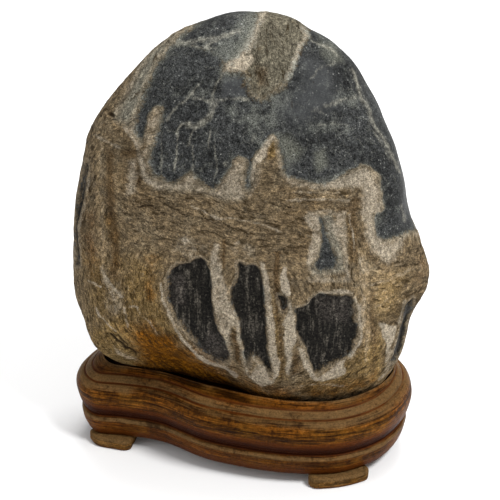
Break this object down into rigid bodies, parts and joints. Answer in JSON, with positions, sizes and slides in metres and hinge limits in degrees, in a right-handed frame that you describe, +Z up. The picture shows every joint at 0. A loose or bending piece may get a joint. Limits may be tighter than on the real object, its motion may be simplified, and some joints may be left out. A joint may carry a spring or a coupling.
{
  "type": "scholars rock on a wooden stand",
  "caption": "Rounded water-worn viewing stone, a brown crust over a dark slate hood with sunk slate windows, resting in a bean-shaped moulded hardwood stand on low slab feet.",
  "frame": {"origin": "middle of the whole object's box in plan, on the surface that the feet stand on", "axes": "+Z up; +X to the viewer's right along the stand's length; -Y towards the viewer, who faces the side with the slate windows"},
  "size_m": [0.1655, 0.0997, 0.2138],
  "materials": {
    "rock_stone": "matt, water-worn",
    "stand_wood": "old wax, worn",
    "foot_wood": "dry, lightly worn"
  },
  "bodies": {
    "root": {"rock": "rock_stone", "stand_body": "stand_wood", "foot_front_left": "foot_wood", "foot_front_right": "foot_wood", "foot_back_left": "foot_wood", "foot_back_right": "foot_wood"}
  },
  "joints": []
}
